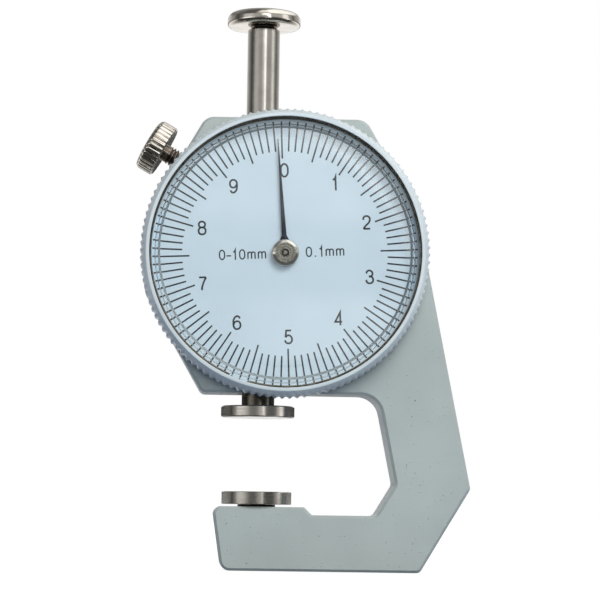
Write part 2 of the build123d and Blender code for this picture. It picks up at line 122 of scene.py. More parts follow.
class GaugeSizes(PropertyGroup):
    """Sizes of the pieces that are drawn here rather than in the solid model."""
    tick_width: length("Graduation width", "Width of one printed line", 0.21)
    tick_outer: length("Graduation outer radius", "Radius at which the lines end", 17.62)
    short_tick: length("Short line radius", "Inner radius of a 0.1 mm line", 13.66)
    long_tick: length("Long line radius", "Inner radius of every fifth line", 12.71)
    figure_height: length("Figure height", "Height of the figures 0 to 9", 1.95)
    word_height: length("Word height", "Height of the figures in the range", 1.4)
    bezel_radius: length("Bezel radius", "Radius over the tips of its teeth", 19.25)
    tooth_depth: length("Tooth depth", "Depth of the bezel's teeth", 0.3)
    cap_radius: length("Cap radius", "Radius of the lifting cap", 5.02)
    head_radius: length("Lock head radius", "Radius over the ridges of the head", 3.65)
    flute_depth: length("Flute depth", "Depth of the flutes in the head", 0.28)
    pointer_length: length("Pointer length", "Length from the dial's centre to the tip", 15.3)


class GaugeCounts(PropertyGroup):
    """How many of each repeated feature."""
    ticks: IntProperty(name="Graduations", description="Lines round the dial", default=100)
    teeth: IntProperty(name="Bezel teeth", description="Teeth round the bezel", default=120)
    flutes: IntProperty(name="Lock flutes", description="Flutes round the lock's head", default=30)


class GaugeColours(PropertyGroup):
    """Colours that a user would change."""
    paint: colour("Frame paint", "Stove enamel of the frame", "#AAB2AF")
    bezel: colour("Bezel", "Moulded plastic of the bezel", "#CBD4D5")
    dial: colour("Dial", "Lacquer of the dial", "#CFDFEA")
    ink: colour("Ink", "Printing ink of the dial", "#222427")


# Modelling helpers

# Points nearer than this to the root circle don't belong to the teeth
root_margin = 0.001


def deselect():
    """Leaves edit mode and drops the selection."""
    if bpy.context.mode != "OBJECT":
        bpy.ops.object.mode_set(mode="OBJECT")
    bpy.ops.object.select_all(action="DESELECT")


def choose(*pieces):
    """Selects these pieces alone, the first one active."""
    deselect()
    for piece in pieces:
        piece.select_set(True)
    bpy.context.view_layer.objects.active = pieces[0]


def edit_all():
    """Opens the active mesh for editing, with all of it selected."""
    bpy.ops.object.mode_set(mode="EDIT")
    bpy.ops.mesh.select_mode(type="VERT")
    bpy.ops.mesh.select_all(action="SELECT")


def pull(*move):
    """Extrudes the selection by a move in millimetres."""
    value = [step * mm for step in move]
    bpy.ops.mesh.extrude_region_move(TRANSFORM_OT_translate={"value": value})


def added():
    """The primitive just added, with its place in its mesh."""
    bpy.ops.object.transform_apply()
    return bpy.context.object


def settle(piece, location=dial_centre, rotation=forwards, turn=0.0):
    """Turns the mesh about its axis and into its place, and leaves its object at the origin."""
    piece.data.transform(Matrix.Rotation(turn, 4, "Z"))
    choose(piece)
    piece.location = location
    piece.rotation_euler = rotation
    bpy.ops.object.transform_apply()


def tidy(piece):
    """Merges doubles and points every face outwards."""
    edit_all()
    bpy.ops.mesh.remove_doubles(threshold=merge_distance)
    bpy.ops.mesh.normals_make_consistent(inside=False)
    bpy.ops.object.mode_set(mode="OBJECT")
    return piece


def drawn(points):
    """One vertex extruded from point to point; it stays in edit mode."""
    deselect()
    bpy.ops.mesh.primitive_plane_add(size=mm, location=[place * mm for place in points[0]])
    piece = added()
    edit_all()
    bpy.ops.mesh.merge(type="CENTER")
    for before, after in zip(points, points[1:]):
        pull(*(b - a for a, b in zip(before, after)))
    return piece


def bare_line(kind, count):
    """A curve object with one bare spline of this kind, that spline and its points."""
    deselect()
    bpy.ops.curve.primitive_bezier_curve_add()
    piece = bpy.context.object
    piece.data.splines.clear()
    spline = piece.data.splines.new(kind)
    knots = spline.bezier_points if kind == "BEZIER" else spline.points
    knots.add(count - 1)
    return piece, spline, knots


def turned(stations, segments, ring=False):
    """Lathe work along Z: a circle at the first (radius, height), extruded through the others.

    A ring's last station leads back to its first; any other piece ends in flats.
    """
    deselect()
    radius, height = stations[0]
    bpy.ops.mesh.primitive_circle_add(vertices=segments, radius=radius * mm, location=(0, 0, height * mm),
                                      fill_type="NOTHING" if ring else "NGON")
    piece = added()
    edit_all()
    for next_radius, next_height in stations[1:] + stations[:1] * ring:
        pull(0, 0, next_height - height)
        grow = next_radius / radius
        bpy.ops.transform.resize(value=(grow, grow, 1), center_override=(0, 0, next_height * mm))
        radius, height = next_radius, next_height
    return tidy(piece)


def fluted(piece, count, steps, radius, depth, profile):
    """Presses count grooves into all that stands at the outer radius."""
    turn = 2 * pi / (count * steps)
    edit_all()
    for k in range(1, steps):
        bpy.ops.mesh.select_all(action="DESELECT")
        shape = bmesh.from_edit_mesh(piece.data)
        for vertex in shape.verts:
            x, y, _ = vertex.co
            outer = hypot(x, y) / mm > radius - depth + root_margin
            if outer and round(atan2(y, x) / turn) % steps == k:
                vertex.select_set(True)
        bmesh.update_edit_mesh(piece.data)
        scale = 1 - depth * profile[k] / radius
        bpy.ops.transform.resize(value=(scale, scale, 1), center_override=(0, 0, 0))
    return tidy(piece)


def copy_of(piece, matrix):
    """A copy with its own mesh, moved by the matrix."""
    twin = piece.copy()
    twin.data = piece.data.copy()
    twin.data.transform(matrix)
    bpy.context.scene.collection.objects.link(twin)
    return twin


def joined(pieces):
    """One object made of several."""
    choose(*pieces)
    bpy.ops.object.join()
    return pieces[0]


def finished(piece, name, body, slot, finish=None, smooth=35):
    """Names the piece, and gives it its slot's or another finish, and its body if it has one."""
    choose(piece)
    bpy.ops.object.shade_smooth_by_angle(angle=radians(smooth))
    piece.name = name
    piece.data.name = name
    if not piece.data.materials:
        piece.data.materials.append(finishes[finish or slot])
    if body:
        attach(piece, body)


def corner(x, z, radius, start, end, steps=5):
    """Stations round a corner about (x, z), from one angle in degrees to another."""
    angles = [radians(start + (end - start) * k / steps) for k in range(steps + 1)]
    return [(x + radius * cos(a), z + radius * sin(a)) for a in angles]


# Finishes

def feed(tree, socket, value):
    """Links another socket to this one, or gives it a value."""
    if isinstance(value, bpy.types.NodeSocket):
        tree.links.new(value, socket)
    else:
        socket.default_value = shade(value) if socket.type == "RGBA" else value


def add_node(tree, kind, inputs=None, **settings):
    """Adds a node, sets it up, and links or fills its inputs."""
    node = tree.nodes.new(kind)
    for name, value in settings.items():
        setattr(node, name, value)
    for name, value in (inputs or {}).items():
        feed(tree, node.inputs[name], value)
    return node


def worked(tree, operation, *values):
    """The result of one Math node."""
    return add_node(tree, "ShaderNodeMath", dict(enumerate(values)), operation=operation).outputs[0]


def fade(tree, value, start, end, low=0.0, high=1.0):
    """A smooth step: low where the value is at the start, high where it is at the end."""
    return add_node(tree, "ShaderNodeMapRange", {
        "Value": value, "From Min": start, "From Max": end, "To Min": low, "To Max": high},
        interpolation_type="SMOOTHSTEP").outputs["Result"]


def mixed(tree, amount, first, second):
    """One colour fading into another."""
    return add_node(tree, "ShaderNodeMix", {0: amount, 6: first, 7: second}, data_type="RGBA").outputs[2]


def distance(tree, place):
    """How far the place is from the origin."""
    return add_node(tree, "ShaderNodeVectorMath", {0: place}, operation="LENGTH").outputs["Value"]


def axes_of(tree, place):
    """The place's X, Y and Z, by name."""
    return add_node(tree, "ShaderNodeSeparateXYZ", {"Vector": place}).outputs


def grain(tree, place, size, detail=2, stretch=(1, 1, 1)):
    """Noise with features of this size in millimetres, stretched along the piece's axes."""
    scaled = add_node(tree, "ShaderNodeMapping", {"Vector": place, "Scale": stretch})
    noise = add_node(tree, "ShaderNodeTexNoise", {
        "Vector": scaled.outputs["Vector"], "Scale": 1 / (size * mm), "Detail": detail})
    return noise.outputs["Fac"]


def spread(tree, value, stops, blend="LINEAR"):
    """A ramp from stops of a place and a shade."""
    ramp = add_node(tree, "ShaderNodeValToRGB", {"Fac": value})
    ramp.color_ramp.interpolation = blend
    points = ramp.color_ramp.elements
    while len(points) < len(stops):
        points.new(0.5)
    for point, (place, tint) in zip(points, stops):
        point.position = place
        point.color = shade(tint)
    return ramp.outputs["Color"]


def raised(tree, height, depth, under=None):
    """A bump of this depth in millimetres, on top of another one if given."""
    inputs = {"Height": height, "Distance": depth * mm, "Strength": 1.0}
    if under is not None:
        inputs["Normal"] = under
    return add_node(tree, "ShaderNodeBump", inputs).outputs["Normal"]


def new_finish(name):
    """An empty material, its tree and its Object coordinates."""
    material = bpy.data.materials.new(name)
    material.use_nodes = True
    tree = material.node_tree
    tree.nodes.clear()
    return material, tree, add_node(tree, "ShaderNodeTexCoord").outputs["Object"]


def surface(tree, inputs):
    """Ends the tree in one Principled shader."""
    shader = add_node(tree, "ShaderNodeBsdfPrincipled", inputs)
    add_node(tree, "ShaderNodeOutputMaterial", {"Surface": shader.outputs["BSDF"]})


def stove_enamel(paint):
    """Stoved enamel on a zinc casting: a thin glossy coat that shows the casting's small lumps.

    It has a fine orange peel, dust nibs, and dark specks where the coat is thin.
    """
    material, tree, place = new_finish("stove_enamel")
    cloud = spread(tree, grain(tree, place, 14), [(0.35, "#A2AAA7"), (0.65, paint)])
    specks = spread(tree, grain(tree, place, 0.42, 1), [(0.2, 1.0), (0.225, 0.0)])
    body = mixed(tree, specks, cloud, "#5C6260")
    peel = raised(tree, grain(tree, place, 0.7, 3), 0.012)
    lumps = raised(tree, grain(tree, place, 3.2, 1), 0.06, under=peel)
    nibs = spread(tree, grain(tree, place, 0.5, 0), [(0.74, 0.0), (0.8, 1.0)])
    surface(tree, {
        "Base Color": body, "Roughness": 0.42, "IOR": 1.5,
        "Normal": raised(tree, nibs, 0.03, under=lumps)})
    return material


def moulded_plastic(tint):
    """Moulded ABS: an even satin skin with the faint texture of its mould."""
    material, tree, place = new_finish("moulded_plastic")
    base = spread(tree, grain(tree, place, 5), [(0.35, "#C4CDD0"), (0.65, tint)])
    rough = spread(tree, grain(tree, place, 0.6), [(0.3, 0.3), (0.7, 0.42)])
    surface(tree, {
        "Base Color": base, "Roughness": rough, "IOR": 1.53,
        "Normal": raised(tree, grain(tree, place, 0.25, 2), 0.004)})
    return material


def cast_acrylic():
    """Clear acrylic with polished faces; lamps shine through it without a lens pattern."""
    material, tree, _ = new_finish("cast_acrylic")
    clear = add_node(tree, "ShaderNodeBsdfPrincipled", {
        "Base Color": "#FBFDFE", "Roughness": 0.02, "IOR": 1.49, "Transmission Weight": 1.0})
    open_way = add_node(tree, "ShaderNodeBsdfTransparent", {"Color": "#FEFFFF"})
    path = add_node(tree, "ShaderNodeLightPath")
    both = add_node(tree, "ShaderNodeMixShader", {
        0: path.outputs["Is Shadow Ray"], 1: clear.outputs["BSDF"], 2: open_way.outputs["BSDF"]})
    add_node(tree, "ShaderNodeOutputMaterial", {"Surface": both.outputs["Shader"]})
    return material


def dial_lacquer(tint):
    """Sprayed lacquer on aluminium: an even light blue with a barely seen mottle."""
    material, tree, place = new_finish("dial_lacquer")
    base = spread(tree, grain(tree, place, 6, 3), [(0.3, "#CADAE5"), (0.7, tint)])
    surface(tree, {
        "Base Color": base, "Roughness": 0.5, "IOR": 1.48,
        "Normal": raised(tree, grain(tree, place, 0.3), 0.002)})
    return material


def screen_ink(tint):
    """Screen-printed ink, a little thinner in places."""
    material, tree, place = new_finish("screen_ink")
    base = spread(tree, grain(tree, place, 0.5), [(0.3, tint), (0.75, "#383B3F")])
    surface(tree, {"Base Color": base, "Roughness": 0.65, "Specular IOR Level": 0.25})
    return material


def metal(name, dark, light, patch, rough, lines, depth, stretch=(1, 1, 1), shade_band=None):
    """Bare metal: tone in patches, and marks of its making that are longer one way.

    A band of painted shade can be given: the Z in millimetres where it starts, begins to fade and ends, and
    its colour.
    """
    material, tree, place = new_finish(name)
    base = spread(tree, grain(tree, place, patch, 3), [(0.3, dark), (0.7, light)])
    if shade_band:
        low, fading, high, tone = shade_band
        along = axes_of(tree, place)["Z"]
        above = worked(tree, "GREATER_THAN", along, low * mm)
        base = mixed(tree, fade(tree, along, fading * mm, high * mm, above, 0.0), base, tone)
    marks = grain(tree, place, lines, 2, stretch)
    smoothest, roughest = rough
    surface(tree, {
        "Base Color": base, "Metallic": 1.0,
        "Roughness": spread(tree, marks, [(0.25, smoothest), (0.75, roughest)]),
        "Normal": raised(tree, marks, depth)})
    return material


def from_axis(tree, place):
    """The place in millimetres from the dial's axis, with its depth left out."""
    return add_node(tree, "ShaderNodeMapping", {
        "Vector": place, "Location": (-dial_centre.x / mm, 0, -dial_centre.z / mm),
        "Scale": (1 / mm, 0, 1 / mm)}).outputs["Vector"]


def turned_face():
    """Nickel over a face left from the lathe: satin, with the rings of its turning tool."""
    material, tree, place = new_finish("satin_nickel")
    rings = add_node(tree, "ShaderNodeTexWave", {
        "Vector": from_axis(tree, place), "Scale": 0.9, "Distortion": 1.2, "Detail": 2.0,
        "Detail Scale": 2.0}, wave_type="RINGS", rings_direction="Y").outputs["Fac"]
    surface(tree, {
        "Base Color": spread(tree, rings, [(0.2, "#7C796F"), (0.8, "#908C81")]),
        "Metallic": 1.0,
        "Roughness": spread(tree, grain(tree, place, 0.5), [(0.3, 0.2), (0.7, 0.32)]),
        "Normal": raised(tree, rings, 0.004)})
    return material


def pivot_steel():
    """Hardened pivot steel, with a painted highlight at its middle and a painted ring of shade round it."""
    material, tree, place = new_finish("pivot_steel")
    tone = spread(tree, distance(tree, from_axis(tree, place)), [
        (0.16, "#A5A096"), (0.3, "#2A2622"), (0.5, "#3A342D"), (0.6, "#A9A59E")])
    surface(tree, {
        "Base Color": tone, "Metallic": 1.0,
        "Roughness": spread(tree, grain(tree, place, 0.2), [(0.3, 0.18), (0.7, 0.3)])})
    return material


# Bands of painted shade: on the spindle above its disc, where the bezel shades it, on the anvil's stem below
# its disc, and in the cap's neck under its rim
spindle_painted_shade = (11.52, 13.4, 17.5, "#55514A")
anvil_painted_shade = (-2.6, -1.73, -1.72, "#1C1A17")
cap_neck_painted_shade = (62.7, 63.27, 63.28, "#45423D")


def make_finishes(colours):
    """Every finish, by the slot or the node that it dresses, or by name."""
    across = (0.04, 0.04, 1)
    ground = ("#A9A59E", "#BDB9B1", 3.0, (0.14, 0.24), 0.12, 0.0002, across)
    along = (1, 1, 0.03)
    return {
        "frame_paint": stove_enamel(colours.paint),
        "bezel_plastic": moulded_plastic(colours.bezel),
        "crystal_acrylic": cast_acrylic(),
        "dial_enamel": dial_lacquer(colours.dial),
        "ink": screen_ink(colours.ink),
        # Centreless-ground tool steel: fine rings round the rod, soft streaky reflections
        # The spindle's copy is painted with shade above its disc
        "ground_steel": metal("ground_steel", *ground, shade_band=spindle_painted_shade),
        # The anvil's copy is painted with shade on its stem below the disc
        "anvil": metal("ground_steel_anvil", *ground, shade_band=anvil_painted_shade),
        # Bright nickel over turned steel: nearly a mirror, with smudges, and painted shade in the cap's neck
        "nickel_plate": metal("bright_nickel", "#BDB6AB", "#D6D1C8", 1.6, (0.06, 0.14), 0.5, 0.0006,
                              shade_band=cap_neck_painted_shade),
        "face": turned_face(),
        "pinion_shaft": pivot_steel(),
        # Hard-drawn bronze wire gone brown
        "ring_brass": metal("bronze_wire", "#565046", "#80786A", 1.0, (0.22, 0.35), 0.2, 0.001),
        "movement_brass": metal("turned_brass", "#B08D4E", "#C8A765", 2.0, (0.22, 0.35), 0.15, 0.002,
                                across),
        "spring_steel": metal("spring_wire", "#6F6C68", "#8E8A85", 1.0, (0.25, 0.4), 0.2, 0.002),
        "screw_steel": metal("zinc_plated_steel", "#8F9092", "#B4B4B2", 1.2, (0.25, 0.4), 0.25, 0.003),
        # Screw steel under a film of old brown oil
        "oiled": metal("oiled_steel", "#5C544C", "#91877D", 0.6, (0.22, 0.36), 0.2, 0.002),
        # Blued spring steel, dark with a cold sheen
        "pointer_black": metal("blued_steel", "#151A26", "#252D3D", 1.5, (0.28, 0.4), 0.3, 0.001, along),
    }


finishes = {}


class GAUGE_OT_finishes(Operator):
    """Makes every finish and gives the solid model's own pieces theirs"""
    bl_idname = "gauge.finishes"
    bl_label = "Finishes"

    def execute(self, context):
        finishes.update(make_finishes(context.scene.gauge_colours))
        for part in frame["record"]["subparts"]:
            piece = frame["nodes"][part["node"]]
            piece.data.materials.clear()
            finish = finishes.get(part["node"], finishes[part["material_slot"]])
            piece.data.materials.append(finish)
        return {"FINISHED"}


# Dial

dial_turn = radians(2.6)
ink_sunk = 0.01
ink_proud = 0.015
ink_thickness = ink_sunk + ink_proud
tick_corner = 0.03
# Middles of the figures 0 to 9 from the dial's centre, before the print is turned
figure_places = ((0.22, 11.12), (6.92, 9.22), (10.97, 3.86), (11.13, -3.44), (6.83, -8.92), (0.1, -11.14),
                 (-6.67, -9.06), (-11.05, -3.77), (-10.94, 3.67), (-6.61, 9.15))
range_words = (("0-10mm", (-5.66, 0.0)), ("0.1mm", (5.32, 0.12)))


def bar(width, low, high):
    """One printed line: a flat of ink between two radii, its corners rounded by the screen."""
    deselect()
    bpy.ops.mesh.primitive_plane_add(size=1, location=(0, (low + high) / 2, -ink_sunk * mm))
    piece = bpy.context.object
    piece.scale = (width, high - low, 1)
    bpy.ops.object.transform_apply()
    edit_all()
    bpy.ops.mesh.bevel(offset=tick_corner * mm, segments=2, affect="VERTICES")
    edit_all()
    pull(0, 0, ink_thickness)
    return tidy(piece)


# Plain characters as the middles of their strokes, in a box of 100 by 100: smooth rings, smooth curves and
# lines with corners
figure_six = ("curve", ((94, 82), (79, 96), (50, 100), (14, 84), (0, 45), (12, 10), (50, 0),
                        (87, 9), (100, 31), (87, 53), (52, 61), (16, 52), (2, 34)))
letter_m = (("line", ((0, 0), (0, 73))), ("line", ((50, 52), (50, 0))), ("line", ((100, 52), (100, 0))),
            ("curve", ((0, 50), (10, 68), (28, 73), (45, 67), (50, 50))),
            ("curve", ((50, 50), (60, 68), (78, 73), (95, 67), (100, 50))))
strokes = {
    "0": (("ring", ((50, 100), (10, 84), (0, 50), (10, 16), (50, 0), (90, 16), (100, 50), (90, 84))),),
    "1": (("line", ((62, -7), (62, 100), (48, 84), (12, 77))),),
    "2": (("curve", ((2, 70), (13, 92), (50, 100), (88, 91), (98, 71), (82, 48), (36, 24),
                     (4, 0))), ("line", ((2, 0), (100, 0)))),
    "3": (("curve", ((5, 77), (17, 94), (48, 100), (82, 92), (93, 75), (80, 58), (40, 54))),
          ("curve", ((40, 54), (84, 48), (100, 28), (86, 7), (48, 0), (12, 8), (0, 28)))),
    "4": (("line", ((74, 0), (74, 100), (0, 27), (100, 27))),),
    "5": (("line", ((90, 100), (20, 100), (8, 47))),
          ("curve", ((8, 47), (45, 63), (86, 53), (100, 31), (86, 8), (46, 0), (12, 8),
                     (0, 25)))),
    "6": (figure_six,),
    "7": (("line", ((0, 100), (100, 100))), ("curve", ((100, 100), (64, 60), (43, 27), (36, 0)))),
    "8": (("ring", ((50, 100), (14, 91), (5, 76), (17, 60), (50, 54), (83, 60), (95, 76),
                    (86, 91))),
          ("ring", ((50, 54), (12, 46), (0, 27), (12, 7), (50, 0), (88, 7), (100, 27),
                    (88, 46)))),
    "9": ((figure_six[0], tuple((100 - x, 100 - y) for x, y in figure_six[1])),),
    "-": (("line", ((-20, 38), (120, 38))),),
    ".": (("line", ((50, -7), (50, 8))),),
    "m": letter_m,
}
# Width of a character and the room it takes, as shares of its height
character_widths = {"-": (0.44, 0.5), ".": (0.2, 0.46), "1": (0.52, 0.64), "m": (0.8, 0.99)}
figure_widths = (0.6, 0.77)
stroke_share = 0.125
curve_parts = 5


def drawn_stroke(kind, points, width):
    """One stroke of ink through these points in millimetres, as a closed mesh."""
    piece, spline, knots = bare_line("BEZIER", len(points))
    spline.use_cyclic_u = kind == "ring"
    for knot, (x, y) in zip(knots, points):
        knot.co = (x * mm, y * mm, 0)
        knot.handle_left_type = knot.handle_right_type = "VECTOR" if kind == "line" else "AUTO"
    piece.data.resolution_u = 1 if kind == "line" else curve_parts
    piece.data.extrude = ink_thickness / 2 * mm
    bpy.ops.object.convert(target="MESH")
    broad = piece.modifiers.new("broad", "SOLIDIFY")
    broad.thickness = width * mm
    broad.offset = 0
    broad.use_even_offset = True
    bpy.ops.object.modifier_apply(modifier=broad.name)
    return tidy(piece)


def lettering(text, height, middle):
    """Printed characters of this height in millimetres, centred on the middle (x, y)."""
    sizes = [character_widths.get(letter, figure_widths) for letter in text]
    broad = stroke_share * height
    start = middle[0] - sum(room for _, room in sizes) * height / 2
    pieces = []
    for letter, (share, room) in zip(text, sizes):
        x_middle = start + room * height / 2
        for kind, points in strokes[letter]:
            placed = [(x_middle + (x / 100 - 0.5) * (share * height - broad),
                       middle[1] + (y / 100 - 0.5) * (height - broad)) for x, y in points]
            pieces.append(drawn_stroke(kind, placed, broad))
        start += room * height
    return pieces


class GAUGE_OT_dial_print(Operator):
    """Prints the graduations, the figures and the range on the dial"""
    bl_idname = "gauge.dial_print"
    bl_label = "Dial print"

    def execute(self, context):
        sizes, counts = context.scene.gauge_sizes, context.scene.gauge_counts
        place = dial_centre + Vector((0, -dial_face * mm, 0))
        long, short = [bar(sizes.tick_width, inner, sizes.tick_outer)
                       for inner in (sizes.long_tick, sizes.short_tick)]
        step = 2 * pi / counts.ticks
        ticks = [copy_of(short if k % 5 else long, Matrix.Rotation(dial_turn - k * step, 4, "Z"))
                 for k in range(counts.ticks)]
        for line in (long, short):
            bpy.data.objects.remove(line)
        graduations = joined(ticks)
        settle(graduations, place)
        finished(graduations, "dial_graduations", "bezel", "dial_enamel", "ink")
        figures = []
        for k, middle in enumerate(figure_places):
            figures += lettering(str(k), sizes.figure_height / mm, middle)
        words = []
        for text, middle in range_words:
            words += lettering(text, sizes.word_height / mm, middle)
        for marks, name in ((figures, "dial_figures"), (words, "dial_range_marking")):
            piece = joined(marks)
            settle(piece, place, turn=dial_turn)
            finished(piece, name, "bezel", "dial_enamel", "ink")
        return {"FINISHED"}


# Bezel, crystal and its ring

bezel_back = 4.3
bezel_bore = 16.95
back_narrowing = 0.1
back_chamfer = 0.15
band_top = 8.7
bezel_front = 10.3
rim_radius = 18.45
rim_round = 0.1
rim_break = 0.04
opening_radius = 18.0
opening_break = 0.05
groove_radius = 18.16
groove_top = 9.95
dial_back = 6.6
ledge_radius = 16.2
ledge_thickness = 0.6
wire_radius = 17.1
wire_low = 4.6
wire_high = 5.2
crystal_seat = 9.4
tooth_steps = 6
tooth_profile = (0.0, 0.3, 0.8, 1.0, 0.8, 0.3)


class GAUGE_OT_bezel(Operator):
    """Turns the bezel and cuts its fine teeth"""
    bl_idname = "gauge.bezel"
    bl_label = "Bezel"

    def execute(self, context):
        sizes, counts = context.scene.gauge_sizes, context.scene.gauge_counts
        radius, depth = sizes.bezel_radius / mm, sizes.tooth_depth / mm
        root = radius - depth
        cone = (bezel_front - band_top) / (radius - rim_radius)
        ledge_back = dial_back - ledge_thickness
        stations = [
            (bezel_bore, bezel_back), (root - back_narrowing, bezel_back),
            (radius, bezel_back + back_chamfer), (radius, band_top), (root, band_top + depth * cone),
            (rim_radius + rim_round, bezel_front - rim_round * cone), (rim_radius, bezel_front - rim_break),
            (rim_radius - rim_round, bezel_front), (opening_radius + opening_break, bezel_front),
            (opening_radius, bezel_front - opening_break), (opening_radius, groove_top),
            (groove_radius, groove_top), (groove_radius, crystal_seat), (opening_radius, crystal_seat),
            (opening_radius, dial_back), (ledge_radius, dial_back), (ledge_radius, ledge_back),
            (bezel_bore, ledge_back), (bezel_bore, wire_high), (wire_radius, wire_high),
            (wire_radius, wire_low), (bezel_bore, wire_low),
        ]
        ring = turned(stations, counts.teeth * tooth_steps, ring=True)
        piece = fluted(ring, counts.teeth, tooth_steps, radius, depth, tooth_profile)
        settle(piece)
        finished(piece, "bezel_knurled", "bezel", "bezel_plastic", smooth=28)
        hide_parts("bezel")
        return {"FINISHED"}


crystal_outer = 17.95
crystal_inner = 16.9
crystal_thickness = 0.8
crystal_crown = 0.35
crystal_rings = 10
crystal_segments = 240
crystal_slope = 0.33
crystal_edge = 0.12
# The wall's foot stands on the dial on two lands, with a narrow groove between them
foot_groove = (17.1, 17.22, 17.34)
foot_groove_depth = 0.13


class GAUGE_OT_crystal(Operator):
    """Turns the slightly domed crystal with its rim"""
    bl_idname = "gauge.crystal"
    bl_label = "Crystal"

    def execute(self, context):
        radii = [crystal_inner * k / crystal_rings for k in range(1, crystal_rings + 1)]
        dome = [(r, crystal_crown * (1 - (r / crystal_inner) ** 2)) for r in radii]
        underside = crystal_seat - crystal_thickness
        under = [(r, underside + rise) for r, rise in dome[:-1]]
        under += [(crystal_inner - crystal_slope, underside), (crystal_inner, underside - crystal_slope)]
        front = [(r, crystal_seat + rise) for r, rise in reversed(dome)]
        start, middle, end = foot_groove
        rim = [(crystal_inner, dial_face), (start, dial_face), (middle, dial_face + foot_groove_depth),
               (end, dial_face), (crystal_outer, dial_face), (crystal_outer, crystal_seat - crystal_edge),
               (crystal_outer - crystal_edge, crystal_seat)]
        piece = turned(under + rim + front, crystal_segments)
        settle(piece)
        finished(piece, "crystal_domed", "bezel", "crystal_acrylic")
        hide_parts("crystal")
        return {"FINISHED"}


ring_wire = 0.15
ring_middle_radius = 17.86
ring_middle_height = 9.66
ring_gap_middle = 207.8
ring_gap = 8.4
ring_steps = 160
wire_sides = 12


class GAUGE_OT_snap_ring(Operator):
    """Bends the split wire ring that holds the crystal"""
    bl_idname = "gauge.snap_ring"
    bl_label = "Snap ring"

    def execute(self, context):
        deselect()
        start = radians(90 - ring_gap_middle + ring_gap / 2)
        bpy.ops.mesh.primitive_circle_add(
            vertices=wire_sides, radius=ring_wire * mm, fill_type="NGON",
            location=(ring_middle_radius * mm, 0, ring_middle_height * mm), rotation=forwards)
        piece = added()
        edit_all()
        bpy.ops.mesh.spin(steps=ring_steps, angle=radians(360 - ring_gap), center=(0, 0, 0),
                          axis=(0, 0, 1))
        tidy(piece)
        settle(piece, turn=start)
        finished(piece, "snap_ring_wire", "bezel", "ring_brass", smooth=60)
        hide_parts("crystal_snap_ring")
        return {"FINISHED"}


# Pointer

pointer_back = 7.5
pointer_front = 7.7
pointer_half_width = 0.32
pointer_half_tip = 0.05
pointer_flare = 1.1
flare_height = 0.7
pointer_eye = 1.35
pointer_neck = 2.35
pointer_bevel = 0.04
pointer_angle = radians(4.6)
hub_radius = 1.8
hub_front = 8.3
hub_bore = 0.55
tube_radius = 0.8
tube_length = 0.2
hub_round = 0.2
hub_side = 0.34
hub_face_radius = 1.36
face_break = 0.02
face_depth = 0.012
hub_segments = 96


def blade(length_out):
    """The pointer: its outline made thick, with broken edges.

    The three lowest points are under the hub, where the outline crosses itself.
    """
    arc = [radians(-60 - 60 * k) for k in range(1, 4)]
    eye = [(pointer_eye * sin(a), pointer_eye * cos(a)) for a in arc]
    points = [(pointer_half_width, pointer_neck), (pointer_flare, flare_height), *eye,
              (-pointer_flare, flare_height), (-pointer_half_width, pointer_neck),
              (-pointer_half_tip, length_out), (pointer_half_tip, length_out)]
    piece = drawn([(x, y, pointer_back) for x, y in points])
    edit_all()
    bpy.ops.mesh.edge_face_add()
    pull(0, 0, pointer_front - pointer_back)
    tidy(piece)
    edge = piece.modifiers.new("edges", "BEVEL")
    edge.width = pointer_bevel * mm
    edge.segments = 2
    edge.limit_method = "ANGLE"
    edge.angle_limit = radians(30)
    bpy.ops.object.modifier_apply(modifier=edge.name)
    return piece


class GAUGE_OT_pointer(Operator):
    """Makes the tapered pointer and its turned hub"""
    bl_idname = "gauge.pointer"
    bl_label = "Pointer"

    def execute(self, context):
        piece = blade(context.scene.gauge_sizes.pointer_length / mm)
        settle(piece, turn=pointer_angle)
        finished(piece, "pointer_blade", "pointer", "pointer_black")
        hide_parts("pointer")
        side = hub_front - hub_side
        hub = turned([
            (hub_bore, pointer_back - tube_length), (tube_radius, pointer_back - tube_length),
            (tube_radius, pointer_front), (hub_radius, pointer_front), (hub_radius, side),
            *corner(hub_radius - hub_round, side, hub_round, 15, 60, 3),
            (hub_face_radius + 2 * face_break, hub_front - face_break),
            (hub_face_radius - face_break, hub_front), (hub_bore, hub_front)], hub_segments, ring=True)
        hub.data.materials.append(finishes["nickel_plate"])
        hub.data.materials.append(finishes["face"])
        for flat in hub.data.polygons:
            middle = flat.center / mm
            on_face = middle.z > hub_front - face_depth and middle.xy.length < hub_face_radius
            flat.material_index = int(on_face)
        settle(hub)
        finished(hub, "pointer_hub_turned", "pointer", "nickel_plate", smooth=18)
        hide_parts("pointer_hub")
        return {"FINISHED"}


# Lifting cap and lock screw

spindle_top = 63.0
stud_radius = 1.25
stud_length = 4
cap_neck = 1.8
cap_low = 63.3
cap_flat = 3.4
cap_under_round = 0.55
cap_high = 65.3
cap_top_round = 1.0
cap_crown = 0.35
crown_shares = (0.85, 0.7, 0.5, 0.3, 0.12)
cap_segments = 128


class GAUGE_OT_lifting_cap(Operator):
    """Turns the polished lifting cap with its neck and stud"""
    bl_idname = "gauge.lifting_cap"
    bl_label = "Lifting cap"

    def execute(self, context):
        radius = context.scene.gauge_sizes.cap_radius / mm
        under, top = cap_under_round, cap_top_round
        stations = [
            (stud_radius, spindle_top - stud_length), (stud_radius, spindle_top), (cap_neck, spindle_top),
            (cap_neck, cap_low), (cap_flat, cap_low), *corner(radius - under, cap_low + under, under, -90, 0),
            *corner(radius - top, cap_high - top, top, 0, 72, 8)]
        edge_radius, edge_height = stations[-1]
        rise = cap_high + cap_crown - edge_height
        stations += [(edge_radius * k, edge_height + rise * (1 - k * k)) for k in crown_shares]
        piece = turned(stations, cap_segments)
        finished(piece, "lifting_cap_polished", "spindle", "nickel_plate")
        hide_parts("lifting_cap")
        return {"FINISHED"}


lock_origin = Vector((0, 0, 0.0382))
lock_turn = (0, radians(-60), 0)
thread_radius = 1.25
thread_root = 0.97
thread_pitch = 0.45
